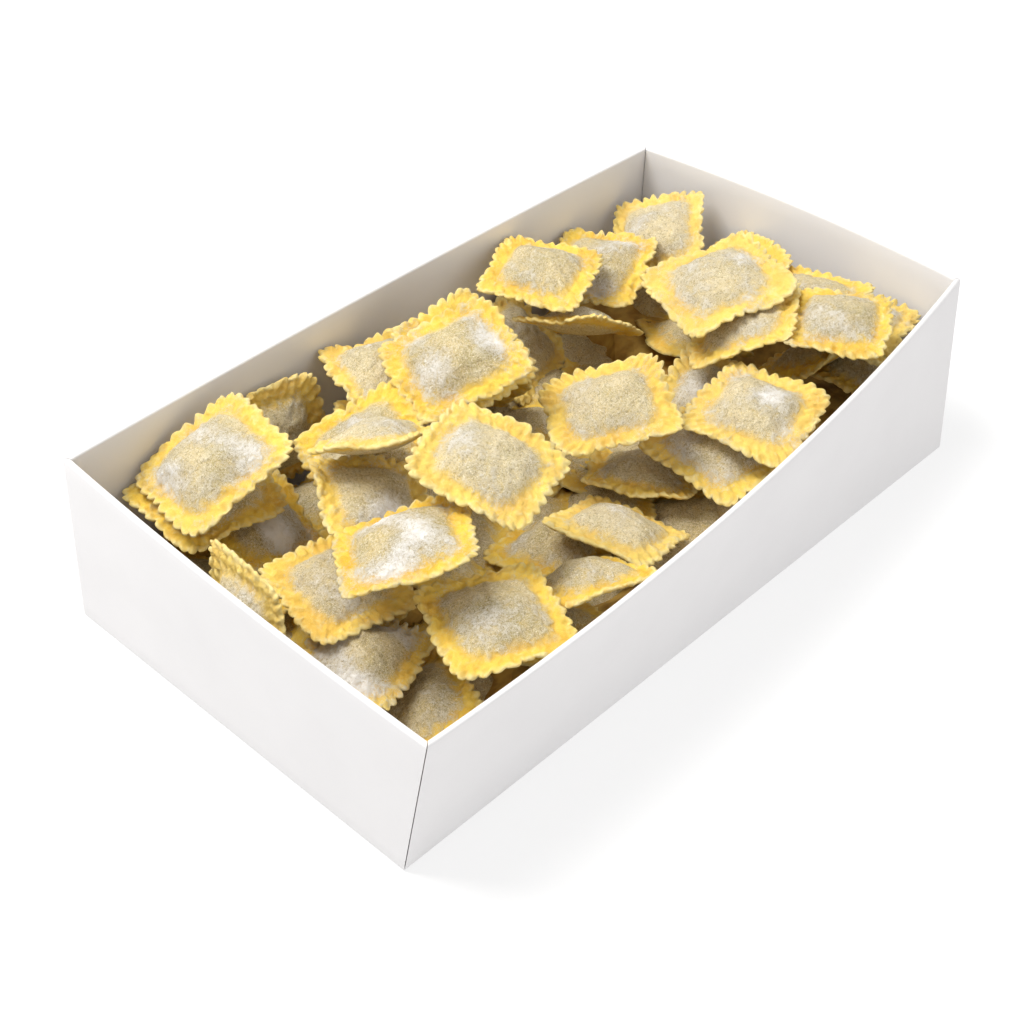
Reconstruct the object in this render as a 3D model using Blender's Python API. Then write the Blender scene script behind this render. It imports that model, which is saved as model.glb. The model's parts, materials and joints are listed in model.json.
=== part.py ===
"""A shallow white card box filled to the brim with fluted ravioli.

The box is one folded tray of double card.  Its base is a true rectangle; its
rim is not: the walls bow outwards under the load, the front wall leans out at
one end and in at the other.  Every raviolo that shows in the heap is a solid
of its own.  The ravioli buried beneath them are one solid that fills the tray
up to the undersides of the upper layer.

Frame: metres, +Z up, origin at the centre of the box's underside, +X along the
long side, +Y towards the back wall.
"""

import math
from dataclasses import dataclass

import bmesh
import bpy
import numpy as np
from mathutils import Matrix, Vector
from mathutils.bvhtree import BVHTree

MM = 0.001

# The box: a flat base, a rim at constant height, and walls of double card.
BASE_LENGTH = 300 * MM
BASE_WIDTH = 161 * MM
BOX_HEIGHT = 70.5 * MM
CARD = 2.2 * MM
RIM_ROUNDING = 0.8 * MM

# Outer corners of the rim, and how far each wall bows out between them.
# Walls run anticlockwise from the front left corner.
RIM_CORNERS = {
    "front_left": (-154 * MM, -94 * MM),
    "front_right": (160 * MM, -68 * MM),
    "back_right": (149 * MM, 81 * MM),
    "back_left": (-149 * MM, 80.5 * MM),
}
RIM_BOW = {
    "front": 9.7 * MM,
    "right": 4.4 * MM,
    "back": 2.4 * MM,
    "left": 2.0 * MM,
}
BOW_GROWTH = 1.2
WALL_STEPS = {"front": 12, "right": 8, "back": 10, "left": 8}
WALL_LEVELS = 4
# Part of a wall's length that gives its direction at a corner.
END_STRETCH = 0.02

# One raviolo: two sheets of dough pinched round a filling.
FLUTES_PER_SIDE = 8
FLUTE_DEPTH = 1.1 * MM
CORNER_SQUARENESS = 5.0
PILLOW_SPAN = 0.66
SHOULDER_SPAN = 0.44
PILLOW_HEIGHT = 8.0 * MM
SHOULDER_HEIGHT = 6.7 * MM
BELLY_HEIGHT = 3.4 * MM
RIM_HALF_THICKNESS = 1.1 * MM
PILLOW_POINTS = 8

# Room that touching pieces keep, and the share of it added away from the middle
# so that thin edges keep it too.
GAP = 0.35 * MM
EDGE_SHARE = 0.3

# The way the box was filled: each raviolo slides in from over the front left
# corner, down this slope, until it touches the ones before it.
SLIDE = (0.57, 0.50, -0.65)
SLIDE_LENGTH = 60 * MM
SLIDE_STEP = 0.5 * MM

# The buried ravioli: a grid fine enough to follow the undersides above it.
HEAP_COLUMNS = 26
HEAP_ROWS = 14
HEAP_REACH = 15 * MM
HEAP_OPEN_LEVEL = 48 * MM
HEAP_SLACK = 0.8 * MM
HEAP_LEAST_LEVEL = 5 * MM


@dataclass(frozen=True)
class Lie:
    """How one raviolo lies: millimetres and degrees.

    The pillow faces up, leans by `lean` towards the compass angle `toward`
    (anticlockwise from +X), and is turned by `turn` about its own normal.
    """

    x: float
    y: float
    z: float
    lean: float
    toward: float
    turn: float
    length: float
    width: float


# In the order they were dropped in: the far ones first, each over the last.
LIES = (
    Lie(47, 58, 30, 35, 290, 175, 42, 50),
    Lie(15, 55, 29, 65, 35, 25, 46, 45),
    Lie(132, -52, 34, 5, 85, 5, 41, 41),
    Lie(115, -36, 39, 35, 80, 10, 42, 45),
    Lie(130, -43, 52, 0, 265, 105, 46, 45),
    Lie(118, -26, 59, 15, 115, 65, 45, 47),
    Lie(103, -52, 70, 5, 115, 95, 44, 41),
    Lie(69, -23, 34, 25, 235, 135, 46, 45),
    Lie(125, 17, 49, 25, 125, 120, 47, 49),
    Lie(87, -21, 61, 30, 120, 5, 46, 45),
    Lie(124, 51, 52, 30, 165, 50, 42, 42),
    Lie(89, 53, 50, 15, 165, 35, 46, 45),
    Lie(60, 37, 44, 40, 40, 60, 43, 48),
    Lie(-66, 75, 37, 85, 260, 0, 46, 46),
    Lie(-28, 55, 58, 0, 155, 95, 44, 41),
    Lie(-60, 30, 54, 25, 185, 65, 44, 47),
    Lie(-73, 12, 75, 35, 60, 60, 41, 41),
    Lie(-4, 37, 63, 25, 265, 5, 47, 46),
    Lie(-19, 28, 72, 20, 195, 55, 44, 49),
    Lie(55, 54, 63, 0, 100, 15, 44, 47),
    Lie(91, -4, 69, 15, 145, 100, 51, 51),
    Lie(-113, 34, 20, 20, 110, 105, 46, 46),
    Lie(-98, 44, 34, 20, 310, 130, 46, 44),
    Lie(-21, -27, 20, 15, 40, 65, 42, 51),
    Lie(47, -57, 22, 35, 110, 135, 45, 44),
    Lie(28, -25, 24, 20, 25, 95, 44, 48),
    Lie(42, -46, 40, 5, 250, 20, 48, 44),
    Lie(-10, -44, 32, 20, 15, 85, 46, 46),
    Lie(-41, -57, 37, 30, 70, 0, 41, 41),
    Lie(15, -16, 58, 15, 180, 55, 43, 50),
    Lie(55, -52, 54, 10, 190, 0, 44, 47),
    Lie(-111, 55, 47, 0, 160, 105, 46, 46),
    Lie(-82, 3, 59, 20, 305, 115, 44, 43),
    Lie(-109, 53, 62, 25, 160, 100, 49, 51),
    Lie(-141, -1, 46, 85, 170, 10, 47, 47),
    Lie(-113, -50, 22, 35, 130, 115, 49, 42),
    Lie(-119, -30, 36, 0, 215, 165, 41, 41),
    Lie(-109, -8, 46, 5, 280, 70, 43, 45),
    Lie(-100, -30, 72, 20, 105, 130, 48, 47),
    Lie(-90, -62, 54, 0, 300, 125, 46, 46),
    Lie(-63, -30, 84, 15, 265, 20, 48, 44),
)


def clear_scene():
    """Remove every object that the file opens with."""
    for thing in list(bpy.data.objects):
        bpy.data.objects.remove(thing, do_unlink=True)


def finish(name, rgb, roughness):
    """A plain material with one colour and one roughness."""
    material = bpy.data.materials.new(name)
    material.use_nodes = True
    shader = material.node_tree.nodes["Principled BSDF"]
    shader.inputs["Base Color"].default_value = (*rgb, 1.0)
    shader.inputs["Roughness"].default_value = roughness
    shader.inputs["Metallic"].default_value = 0.0
    return material


def add_object(name, mesh, material):
    """Link a mesh to the scene under its node name."""
    thing = bpy.data.objects.new(name, mesh)
    bpy.context.scene.collection.objects.link(thing)
    mesh.materials.append(material)
    return thing


def mesh_from(name, points, faces):
    """A mesh with its faces turned outwards."""
    shape = bmesh.new()
    corners = [shape.verts.new(point) for point in points]
    for face in faces:
        shape.faces.new([corners[index] for index in face])
    bmesh.ops.recalc_face_normals(shape, faces=shape.faces)
    bmesh.ops.triangulate(shape, faces=shape.faces)
    mesh = bpy.data.meshes.new(name)
    shape.to_mesh(mesh)
    shape.free()
    return mesh


def band(lower, upper):
    """Quads between two rings of equal count."""
    count = len(lower)
    return [
        (lower[i], lower[(i + 1) % count], upper[(i + 1) % count], upper[i])
        for i in range(count)
    ]


# ---------------------------------------------------------------- the box

WALLS = (
    ("front", "front_left", "front_right"),
    ("right", "front_right", "back_right"),
    ("back", "back_right", "back_left"),
    ("left", "back_left", "front_left"),
)


def base_corner(corner):
    """The base's corner below a rim corner."""
    x = BASE_LENGTH / 2 if "right" in corner else -BASE_LENGTH / 2
    y = BASE_WIDTH / 2 if "back" in corner else -BASE_WIDTH / 2
    return Vector((x, y))


def wall_point(wall, along, height, inset=0.0):
    """A point on a wall: `along` 0..1, `height` in metres, moved inwards by `inset`."""
    name, start, end = wall
    rise = height / BOX_HEIGHT
    foot = base_corner(start).lerp(base_corner(end), along)
    rim_start, rim_end = Vector(RIM_CORNERS[start]), Vector(RIM_CORNERS[end])
    top = rim_start.lerp(rim_end, along)
    outward = Vector((rim_end.y - rim_start.y, rim_start.x - rim_end.x)).normalized()
    bow = RIM_BOW[name] * rise**BOW_GROWTH * 4 * along * (1 - along)
    return foot.lerp(top, rise) + outward * (bow - inset)


def corner_point(before, after, height, inset):
    """Where two inset walls meet: the crossing of their end tangents."""
    a1 = wall_point(before, 1.0, height, inset)
    a0 = wall_point(before, 1.0 - END_STRETCH, height, inset)
    b0 = wall_point(after, 0.0, height, inset)
    b1 = wall_point(after, END_STRETCH, height, inset)
    d, e = a1 - a0, b1 - b0
    cross = d.x * e.y - d.y * e.x
    reach = ((b0 - a0).x * e.y - (b0 - a0).y * e.x) / cross
    return a0 + d * reach


def ring(height, inset):
    """The tray's plan at one height: a closed ring of points."""
    points = []
    for index, wall in enumerate(WALLS):
        points.append(corner_point(WALLS[index - 1], wall, height, inset))
        steps = WALL_STEPS[wall[0]]
        points += [wall_point(wall, k / steps, height, inset) for k in range(1, steps)]
    return [Vector((p.x, p.y, height)) for p in points]


def build_box():
    """The tray: outer skin, rounded rim fold, inner skin and floor in one closed body."""
    fold = BOX_HEIGHT - RIM_ROUNDING
    rings = [ring(BOX_HEIGHT * k / WALL_LEVELS, 0.0) for k in range(WALL_LEVELS)]
    rings.append(ring(fold, 0.0))
    rings.append(ring(BOX_HEIGHT, RIM_ROUNDING))
    rings.append(ring(BOX_HEIGHT, CARD - RIM_ROUNDING))
    rings.append(ring(fold, CARD))
    for k in range(WALL_LEVELS - 1, -1, -1):
        rings.append(ring(CARD + (BOX_HEIGHT - CARD) * k / WALL_LEVELS, CARD))
    count = len(rings[0])
    points = [point for loop in rings for point in loop]
    loops = [list(range(k * count, (k + 1) * count)) for k in range(len(rings))]
    faces = []
    for lower, upper in zip(loops, loops[1:]):
        faces += band(lower, upper)
    faces += [tuple(loops[0]), tuple(loops[-1])]
    return mesh_from("box", points, faces)


# ------------------------------------------------------------ one raviolo


def rounded_square(angle, half_length, half_width, squareness):
    """A point on a rounded rectangle's outline."""
    c, s = math.cos(angle), math.sin(angle)
    reach = (abs(c) ** squareness + abs(s) ** squareness) ** (-1 / squareness)
    return Vector((c * reach * half_length, s * reach * half_width))


def fluted_outline(half_length, half_width):
    """The cut edge: two points to a flute, one out and one in."""
    count = 2 * 4 * FLUTES_PER_SIDE
    points = []
    for index in range(count):
        angle = 2 * math.pi * index / count
        spot = rounded_square(angle, half_length, half_width, CORNER_SQUARENESS)
        depth = FLUTE_DEPTH if index % 2 else 0.0
        points.append(spot - spot.normalized() * depth)
    return points


def fill_between(wide, narrow):
    """Triangles between a ring of many points and one of few, both from angle 0."""
    faces = []
    ratio = len(wide) // len(narrow)
    for k in range(len(narrow)):
        here, following = narrow[k], narrow[(k + 1) % len(narrow)]
        half = ratio // 2
        for j in range(ratio):
            a = wide[(k * ratio + j) % len(wide)]
            b = wide[(k * ratio + j + 1) % len(wide)]
            faces.append((a, b, here if j < half else following))
        faces.append((wide[(k * ratio + half) % len(wide)], following, here))
    return faces


def raviolo_shape(length, width):
    """Points and faces of one raviolo, its pinched edge in the plane z = 0."""
    points = [Vector((p.x, p.y, 0)) for p in fluted_outline(length / 2, width / 2)]
    edge = list(range(len(points)))

    def add_ring(span, height):
        first = len(points)
        for k in range(PILLOW_POINTS):
            angle = 2 * math.pi * k / PILLOW_POINTS
            spot = rounded_square(angle, span * length / 2, span * width / 2, CORNER_SQUARENESS)
            points.append(Vector((spot.x, spot.y, height)))
        return list(range(first, len(points)))

    foot = add_ring(PILLOW_SPAN, RIM_HALF_THICKNESS)
    shoulder = add_ring(SHOULDER_SPAN, SHOULDER_HEIGHT)
    points.append(Vector((0, 0, PILLOW_HEIGHT)))
    crown = len(points) - 1
    under = add_ring(PILLOW_SPAN, -RIM_HALF_THICKNESS)
    points.append(Vector((0, 0, -BELLY_HEIGHT)))
    belly = len(points) - 1

    faces = fill_between(edge, foot) + band(foot, shoulder)
    faces += [(shoulder[k], shoulder[(k + 1) % PILLOW_POINTS], crown) for k in range(PILLOW_POINTS)]
    faces += fill_between(edge, under)
    faces += [(under[k], under[(k + 1) % PILLOW_POINTS], belly) for k in range(PILLOW_POINTS)]
    return points, faces


def turned(lie):
    """The rotation that a lie describes."""
    toward = Matrix.Rotation(math.radians(lie.toward), 4, "Z")
    lean = Matrix.Rotation(math.radians(lie.lean), 4, "Y")
    turn = Matrix.Rotation(math.radians(lie.turn), 4, "Z")
    return toward @ lean @ turn


# -------------------------------------------------------- laying the heap


def wall_lines():
    """Each inner wall as two corner lines and an outward normal, for quick tests."""
    room = CARD + GAP
    lines = []
    for index, wall in enumerate(WALLS):
        before, after = WALLS[index - 1], WALLS[(index + 1) % len(WALLS)]
        ends = [
            (corner_point(before, wall, height, room), corner_point(wall, after, height, room))
            for height in (0.0, BOX_HEIGHT)
        ]
        corners = [np.array(corner) for pair in ends for corner in pair]
        lines.append((RIM_BOW[wall[0]], *corners))
    return lines


def wall_nudge(points, lines):
    """How far a piece must move sideways to keep within the four inner walls."""
    spots = np.array([tuple(point) for point in points])
    rise = np.clip(spots[:, 2:3] / BOX_HEIGHT, 0, 1)
    shift = np.zeros(2)
    for bow, foot_start, foot_end, top_start, top_end in lines:
        start = foot_start + (top_start - foot_start) * rise
        span = foot_end + (top_end - foot_end) * rise - start
        length = np.hypot(span[:, 0], span[:, 1])
        outward = np.stack([span[:, 1], -span[:, 0]], 1) / length[:, None]
        offset = spots[:, :2] - start
        along = np.clip((offset * span).sum(1) / length**2, 0, 1)
        swell = bow * rise[:, 0] ** BOW_GROWTH * 4 * along * (1 - along)
        beyond = (offset * outward).sum(1) - swell
        worst = int(beyond.argmax())
        if beyond[worst] > 0:
            shift -= outward[worst] * beyond[worst]
    return Vector((shift[0], shift[1], 0.0))


def swollen(points, faces, by):
    """The same shape grown by `by` along its corner normals."""
    normals = [Vector() for _ in points]
    middle = sum(points, Vector()) / len(points)
    for face in faces:
        a, b, c = (points[index] for index in face[:3])
        normal = (b - a).cross(c - a).normalized()
        if normal.dot((a + b + c) / 3 - middle) < 0:
            normal = -normal
        for index in face:
            normals[index] += normal
    grown = []
    for point, normal in zip(points, normals):
        outwards = (point - middle).normalized()
        grown.append(point + (normal.normalized() + outwards * EDGE_SHARE) * by)
    return grown


def touches(points, faces, laid):
    """Whether a swollen shape meets any raviolo already laid."""
    tree = BVHTree.FromPolygons(points, faces)
    middle = sum(points, Vector()) / len(points)
    for other, centre, reach in laid:
        if (middle - centre).length < reach and tree.overlap(other):
            return True
    return False


def lay_ravioli(lies):
    """Put each raviolo in its place, backed up the slope until it clears the heap."""
    lines = wall_lines()
    slide = Vector(SLIDE).normalized()
    placed, laid = [], []
    for lie in lies:
        points, faces = raviolo_shape(lie.length * MM, lie.width * MM)
        grown = swollen(points, faces, GAP)
        rotation = turned(lie)
        points = [rotation @ point for point in points]
        grown = [rotation @ point for point in grown]
        place = Vector((lie.x, lie.y, lie.z)) * MM
        for step in range(int(SLIDE_LENGTH / SLIDE_STEP) + 1):
            spot = place - slide * (step * SLIDE_STEP)
            spot += wall_nudge([point + spot for point in points], lines)
            if not touches([point + spot for point in grown], faces, laid):
                break
        points = [point + spot for point in points]
        reach = 2 * max((point - spot).length for point in points)
        laid.append((BVHTree.FromPolygons(points, faces), spot.copy(), reach))
        placed.append((points, faces, spot))
    return placed


# ----------------------------------------------------- the buried ravioli


def undersides(placed):
    """Points spread over every laid raviolo, as an array."""
    spots = []
    for points, faces, _ in placed:
        for face in faces:
            corners = [points[index] for index in face]
            spots += corners
            spots.append(sum(corners, Vector()) / len(corners))
            spots += [(corners[k] + corners[k - 1]) / 2 for k in range(len(corners))]
    return np.array([tuple(spot) for spot in spots])


def inside_point(across, along, height):
    """A point within the tray: `along` and `across` run 0..1 from the front left."""
    room = CARD + GAP + HEAP_SLACK
    front, right, back, left = WALLS
    low = wall_point(front, along, height, room)
    high = wall_point(back, 1 - along, height, room)
    near = wall_point(left, 1 - across, height, room)
    far = wall_point(right, across, height, room)
    x = near.x * (1 - along) + far.x * along
    y = low.y * (1 - across) + high.y * across
    return Vector((x, y, height))


def build_lower_ravioli(placed):
    """Fill the tray up to the undersides of the ravioli above."""
    spots = undersides(placed)
    points, top, bottom = [], {}, {}
    for row in range(HEAP_ROWS + 1):
        for column in range(HEAP_COLUMNS + 1):
            across, along = row / HEAP_ROWS, column / HEAP_COLUMNS
            middle = inside_point(across, along, HEAP_OPEN_LEVEL)
            near = np.hypot(spots[:, 0] - middle.x, spots[:, 1] - middle.y) < HEAP_REACH
            level = float(spots[near, 2].min()) - GAP if near.any() else HEAP_OPEN_LEVEL
            level = max(min(level, HEAP_OPEN_LEVEL), HEAP_LEAST_LEVEL)
            top[row, column] = len(points)
            points.append(inside_point(across, along, level))
            bottom[row, column] = len(points)
            points.append(inside_point(across, along, CARD + GAP))
    faces = []
    for row in range(HEAP_ROWS):
        for column in range(HEAP_COLUMNS):
            corners = [(row, column), (row, column + 1), (row + 1, column + 1), (row + 1, column)]
            faces.append(tuple(top[c] for c in corners))
    border = [(0, c) for c in range(HEAP_COLUMNS)]
    border += [(r, HEAP_COLUMNS) for r in range(HEAP_ROWS)]
    border += [(HEAP_ROWS, c) for c in range(HEAP_COLUMNS, 0, -1)]
    border += [(r, 0) for r in range(HEAP_ROWS, 0, -1)]
    faces += band([bottom[c] for c in border], [top[c] for c in border])
    faces.append(tuple(bottom[c] for c in border))
    return points, faces


def drop_loose(points, faces):
    """Leave out points that no face uses."""
    used = sorted({index for face in faces for index in face})
    place = {index: k for k, index in enumerate(used)}
    return [points[index] for index in used], [tuple(place[i] for i in face) for face in faces]


def main():
    """Build the box, the visible ravioli and the heap beneath them."""
    clear_scene()
    card = finish("white_card", (0.80, 0.79, 0.79), 0.65)
    dough = finish("egg_dough", (0.80, 0.60, 0.25), 0.70)
    shade = finish("buried_dough", (0.45, 0.30, 0.10), 0.80)

    add_object("box", build_box(), card)
    placed = lay_ravioli(LIES)
    for number, (points, faces, _) in enumerate(placed, start=1):
        name = f"raviolo_{number:02d}"
        add_object(name, mesh_from(name, points, faces), dough)
    points, faces = drop_loose(*build_lower_ravioli(placed))
    add_object("lower_ravioli", mesh_from("lower_ravioli", points, faces), shade)


if __name__ == "__main__":
    main()
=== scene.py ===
"""A white card tray heaped with fluted ravioli: the looks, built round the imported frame.

Every raviolo of the heap takes its place, its lean and its size from its own CAD
solid.  The buried ones are laid here, beneath and between the ones that show.
"""

import json
import logging
import math
from dataclasses import dataclass
from enum import Enum

import bpy
import numpy as np
from mathutils import Euler, Matrix, Vector
from mathutils.bvhtree import BVHTree

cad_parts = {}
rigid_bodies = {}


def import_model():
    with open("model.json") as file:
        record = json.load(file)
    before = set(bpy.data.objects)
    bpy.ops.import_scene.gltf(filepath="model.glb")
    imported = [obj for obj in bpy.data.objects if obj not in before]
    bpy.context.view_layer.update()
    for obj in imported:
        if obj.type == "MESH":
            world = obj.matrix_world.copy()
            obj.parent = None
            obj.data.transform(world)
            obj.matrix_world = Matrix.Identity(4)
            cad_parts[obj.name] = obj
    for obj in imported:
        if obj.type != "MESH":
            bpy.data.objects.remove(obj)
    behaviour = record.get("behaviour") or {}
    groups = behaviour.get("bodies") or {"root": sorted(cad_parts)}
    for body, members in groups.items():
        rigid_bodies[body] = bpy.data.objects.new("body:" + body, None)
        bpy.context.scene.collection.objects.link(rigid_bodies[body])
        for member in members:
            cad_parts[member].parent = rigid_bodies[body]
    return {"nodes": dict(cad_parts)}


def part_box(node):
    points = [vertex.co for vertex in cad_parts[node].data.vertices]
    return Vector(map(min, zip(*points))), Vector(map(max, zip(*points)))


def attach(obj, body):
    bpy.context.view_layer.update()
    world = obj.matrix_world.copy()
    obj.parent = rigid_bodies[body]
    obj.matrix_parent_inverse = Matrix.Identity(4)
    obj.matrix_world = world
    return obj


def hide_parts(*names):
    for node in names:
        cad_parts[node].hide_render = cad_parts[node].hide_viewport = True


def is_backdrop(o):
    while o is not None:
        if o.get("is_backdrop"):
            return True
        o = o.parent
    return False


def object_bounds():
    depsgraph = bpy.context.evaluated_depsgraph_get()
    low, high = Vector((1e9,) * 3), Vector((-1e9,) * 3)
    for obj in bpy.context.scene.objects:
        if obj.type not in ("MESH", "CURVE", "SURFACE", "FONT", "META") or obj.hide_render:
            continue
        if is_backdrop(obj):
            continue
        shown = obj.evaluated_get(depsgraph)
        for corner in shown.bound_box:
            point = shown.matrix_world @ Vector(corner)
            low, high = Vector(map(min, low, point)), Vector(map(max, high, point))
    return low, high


LOG = logging.getLogger("ravioli_box")
MM = 0.001
ROOT = "root"


# ------------------------------------------------------------ shader arithmetic


class Signal:
    """A shader socket that takes part in Python expressions."""

    def __init__(self, kit: "NodeKit", socket: bpy.types.NodeSocket) -> None:
        self.kit = kit
        self.socket = socket

    def _math(self, operation: str, *values: object) -> "Signal":
        """One Math node on these values."""
        return self.kit.node("ShaderNodeMath", {"operation": operation}, dict(enumerate(values)))

    def __add__(self, other: object) -> "Signal":
        """self + other."""
        return self._math("ADD", self, other)

    __radd__ = __add__

    def __sub__(self, other: object) -> "Signal":
        """self - other."""
        return self._math("SUBTRACT", self, other)

    def __rsub__(self, other: object) -> "Signal":
        """other - self."""
        return self._math("SUBTRACT", other, self)

    def __mul__(self, other: object) -> "Signal":
        """self * other."""
        return self._math("MULTIPLY", self, other)

    __rmul__ = __mul__

    def __pow__(self, other: object) -> "Signal":
        """self ** other."""
        return self._math("POWER", self, other)

    def ramp(self, low: float, high: float, to_low: float = 0.0, to_high: float = 1.0) -> "Signal":
        """Carry low..high smoothly onto to_low..to_high.

        Args:
            low: Value that gives to_low.
            high: Value that gives to_high.
            to_low: Result at and before low.
            to_high: Result at and past high.

        Returns:
            The mapped signal.
        """
        values = {"Value": self, "From Min": low, "From Max": high, "To Min": to_low, "To Max": to_high}
        return self.kit.node("ShaderNodeMapRange", {"interpolation_type": "SMOOTHSTEP"}, values)


class NodeKit:
    """Builds the nodes of one material."""

    def __init__(self, material: bpy.types.Material) -> None:
        """Take over a material's tree."""
        material.use_nodes = True
        self.tree = material.node_tree
        self.shader = self.tree.nodes["Principled BSDF"]

    def node(self, kind: str, settings: dict, values: dict, output: int | str = 0) -> Signal:
        """Add one node.

        Args:
            kind: The node's type name.
            settings: Properties set first; "stops" fills a colour ramp.
            values: Socket name or index to a number, a tuple or a Signal.
            output: Which output the Signal wraps.

        Returns:
            The node's output.
        """
        node = self.tree.nodes.new(kind)
        for name, value in settings.items():
            if name == "stops":
                self._fill_ramp(node.color_ramp, value)
            else:
                setattr(node, name, value)
        for key, value in values.items():
            if isinstance(value, Signal):
                self.tree.links.new(value.socket, node.inputs[key])
            else:
                node.inputs[key].default_value = value
        return Signal(self, node.outputs[output])

    @staticmethod
    def _fill_ramp(ramp: bpy.types.ColorRamp, stops: list) -> None:
        """Set a colour ramp's stops."""
        while len(ramp.elements) < len(stops):
            ramp.elements.new(1.0)
        for element, (place, colour) in zip(ramp.elements, stops):
            element.position = place
            element.color = (*colour, 1.0)

    def mix(self, factor: object, first: object, second: object) -> Signal:
        """Blend two colours by a factor."""
        pair = [(*c, 1.0) if isinstance(c, tuple) else c for c in (first, second)]
        settings = {"data_type": "RGBA", "clamp_factor": True}
        return self.node("ShaderNodeMix", settings, {0: factor, 6: pair[0], 7: pair[1]}, 2)

    def attribute(self, name: str) -> Signal:
        """A number stored on the mesh."""
        return self.node("ShaderNodeAttribute", {"attribute_name": name}, {}, "Fac")

    def place(self) -> Signal:
        """The point's place in the object."""
        return self.node("ShaderNodeTexCoord", {}, {}, "Object")

    def noise(self, size: float, detail: float = 2.0, warp: float = 0.0, rough: float = 0.5) -> Signal:
        """Noise whose blobs are about `size` metres across, 0..1."""
        values = {"Vector": self.place(), "Scale": 1 / size, "Detail": detail}
        values |= {"Distortion": warp, "Roughness": rough}
        return self.node("ShaderNodeTexNoise", {"noise_dimensions": "3D"}, values)

    def cells(self, size: float, feature: str = "F1") -> Signal:
        """Distance within cells about `size` metres across."""
        values = {"Vector": self.place(), "Scale": 1 / size}
        return self.node("ShaderNodeTexVoronoi", {"feature": feature}, values)

    def bump(self, height: Signal, strength: float, distance: float) -> Signal:
        """A Bump node on a height."""
        values = {"Height": height, "Strength": strength, "Distance": distance}
        return self.node("ShaderNodeBump", {}, values)

    def finish(self, **values: object) -> None:
        """Feed the Principled shader; underscores in names stand for spaces."""
        for name, value in values.items():
            socket = self.shader.inputs[name.replace("_", " ")]
            if isinstance(value, Signal):
                self.tree.links.new(value.socket, socket)
            else:
                socket.default_value = (*value, 1.0) if isinstance(value, tuple) else value


# ------------------------------------------------------------------ finishes


@dataclass(frozen=True)
class DoughFinish:
    """Egg dough: golden fluted edge, beige flecked pillow, flour on top."""

    name: str = "egg_dough"
    gold: tuple = (0.96, 0.645, 0.06)
    deep_gold: tuple = (0.84, 0.48, 0.02)
    pale_edge: tuple = (0.97, 0.82, 0.38)
    pillow: tuple = (0.55, 0.425, 0.18)
    pillow_green: tuple = (0.41, 0.32, 0.11)
    pillow_pale: tuple = (0.98, 0.89, 0.68)
    speck: tuple = (0.20, 0.135, 0.05)
    # painted shade: the darker gold laid in the crease between pillow and rim, where shade falls
    painted_crease_shade: tuple = (0.60, 0.40, 0.08)
    flour: tuple = (0.95, 0.92, 0.87)

    def build(self) -> bpy.types.Material:
        """Make the material."""
        material = bpy.data.materials.new(self.name)
        kit = NodeKit(material)
        pillow_mask = kit.attribute("pillow")
        edge = kit.attribute("edge")
        dust = kit.attribute("flour")
        tone = kit.attribute("tone")

        cloud = kit.noise(11 * MM, 3.0)
        mottle = kit.noise(3.2 * MM, 3.0, 0.6)
        grain = kit.noise(0.8 * MM, 3.0, 0.8, 0.6)
        threads = kit.noise(1.0 * MM, 3.0, 4.5, 0.65)

        gold = kit.mix(cloud.ramp(0.32, 0.6), self.deep_gold, self.gold)
        gold = kit.mix(mottle.ramp(0.5, 0.72, 0.0, 0.5), gold, self.pale_edge)
        gold = kit.mix(grain.ramp(0.36, 0.46, 0.3, 0.0), gold, self.deep_gold)
        gold = kit.mix(edge * mottle.ramp(0.3, 0.6, 0.25, 0.8), gold, self.pale_edge)
        gold = kit.mix(threads.ramp(0.54, 0.66, 0.0, 0.55), gold, self.pale_edge)
        gold = kit.mix(tone * 0.4, gold, self.pale_edge)

        body = kit.mix(cloud.ramp(0.3, 0.6), self.pillow_green, self.pillow)
        body = kit.mix(tone * 0.3, body, self.pillow_pale)
        body = kit.mix(mottle.ramp(0.5, 0.75, 0.0, 0.35), body, self.pillow_pale)
        body = kit.mix(threads.ramp(0.5, 0.58, 0.0, 0.8), body, self.pillow_pale)
        body = kit.mix(grain.ramp(0.38, 0.47, 0.45, 0.0), body, self.speck)

        border = (pillow_mask + (mottle - 0.5) * 0.9 + (threads - 0.5) * 0.7).ramp(0.1, 1.0)
        colour = kit.mix(border, gold, body)
        # painted shade: darkens the band where the pillow meets the rim, standing in for the shade in that crease
        fold = pillow_mask.ramp(0.0, 0.3) * pillow_mask.ramp(0.3, 0.75, 1.0, 0.0)
        colour = kit.mix(fold * cloud.ramp(0.3, 0.7, 0.08, 0.3), colour, self.painted_crease_shade)
        powder = dust * 1.2 + (threads - 0.5) * 1.5 + (grain - 0.5) * 0.9 + (mottle - 0.5) * 0.8
        powder = (powder - 0.2).ramp(0.0, 0.95) * dust.ramp(0.02, 0.25)
        colour = kit.mix(powder, colour, self.flour)

        relief = grain * 0.7 + threads * 0.8 + powder * 0.4 + mottle * 2.5
        normal = kit.bump(relief, 0.8, 0.75 * MM)
        rough = border.ramp(0.0, 1.0, 0.5, 0.75) + powder * 0.15
        kit.finish(Base_Color=colour, Roughness=rough, Normal=normal)
        return material


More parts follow.
